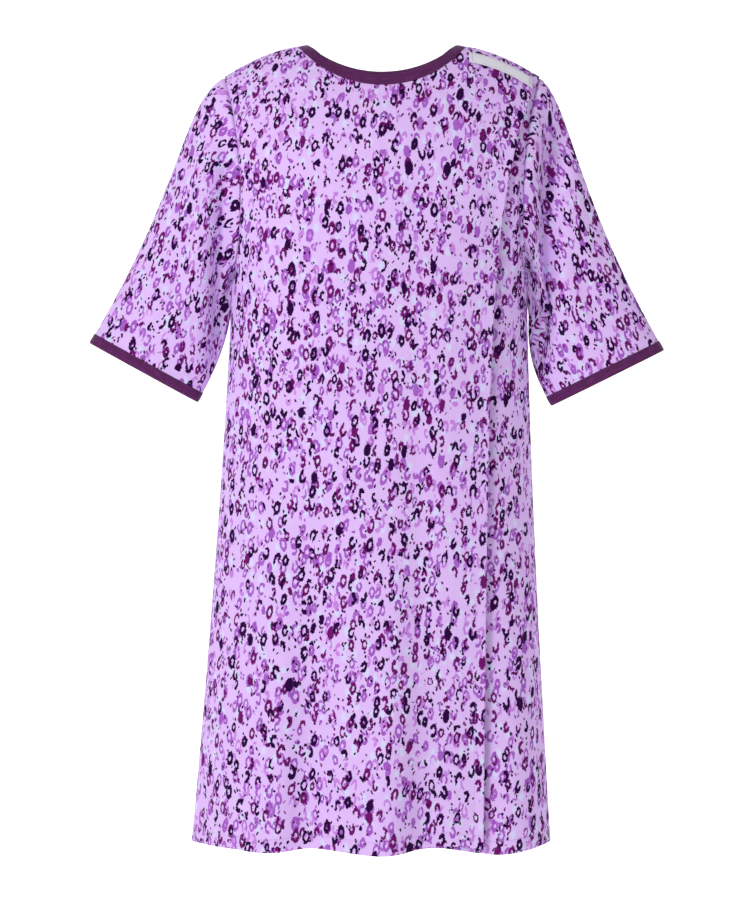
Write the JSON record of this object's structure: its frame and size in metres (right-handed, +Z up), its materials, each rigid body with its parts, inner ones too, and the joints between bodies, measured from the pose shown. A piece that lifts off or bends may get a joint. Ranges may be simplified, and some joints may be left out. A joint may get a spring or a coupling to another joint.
{
  "type": "patient gown",
  "caption": "Open-backed adaptive patient gown with elbow sleeves; one back panel laps over the other and snaps at the shoulder, spot-print cloth with bound neck and cuffs.",
  "frame": {"origin": "hanging point, midway between the two neck points on the shoulder ridge", "axes": "+Z up, -Y towards the gown's back, -X towards the wearer's left"},
  "size_m": [0.7953, 0.2472, 1.0999],
  "materials": {
    "print_cloth": "soft brushed woven cotton with an all-over spot print",
    "purple_binding": "plain woven bias binding",
    "white_twill": "twill tape",
    "label": "blank woven satin label",
    "snap_metal": "nickel plated"
  },
  "bodies": {
    "root": {"front_panel": "print_cloth", "back_under_panel": "print_cloth", "over_panel_side": "print_cloth", "front_neck_binding": "purple_binding", "under_neck_binding": "purple_binding", "hidden_tape": "white_twill", "care_label": "label", "right_snap_stud_rings": "snap_metal", "right_snap_studs": "snap_metal", "left_snap_stud_rings": "snap_metal", "left_snap_studs": "snap_metal", "left_snap_sockets": "snap_metal", "left_sleeve_head": "print_cloth", "left_side_seam": "print_cloth", "left_shoulder_seam": "print_cloth", "left_armhole_seam": "print_cloth", "right_sleeve_head": "print_cloth", "right_side_seam": "print_cloth", "right_shoulder_seam": "print_cloth", "right_armhole_seam": "print_cloth"},
    "over_flap": {"over_panel_flap": "print_cloth", "over_neck_binding": "purple_binding", "shoulder_tape": "white_twill", "right_snap_sockets": "snap_metal", "right_snap_socket_rings": "snap_metal"},
    "left_sleeve_tip": {"left_sleeve_end": "print_cloth", "left_cuff_binding": "purple_binding"},
    "right_sleeve_tip": {"right_sleeve_end": "print_cloth", "right_cuff_binding": "purple_binding"}
  },
  "joints": [
    {"name": "over_flap_swing", "type": "hinge", "parent": "root", "child": "over_flap", "pos_m": [-0.12, -0.1165, -1.096], "axis": [0, -0.0315, -0.9995], "range_deg": [0, 120]},
    {"name": "left_elbow_bend", "type": "hinge", "parent": "root", "child": "left_sleeve_tip", "pos_m": [-0.27248, 0, -0.34731], "axis": [0.8767, 0, -0.4811], "range_deg": [0, 50]},
    {"name": "right_elbow_bend", "type": "hinge", "parent": "root", "child": "right_sleeve_tip", "pos_m": [0.25939, 0, -0.3525], "axis": [0.8962, 0, 0.4437], "range_deg": [0, 50]}
  ]
}
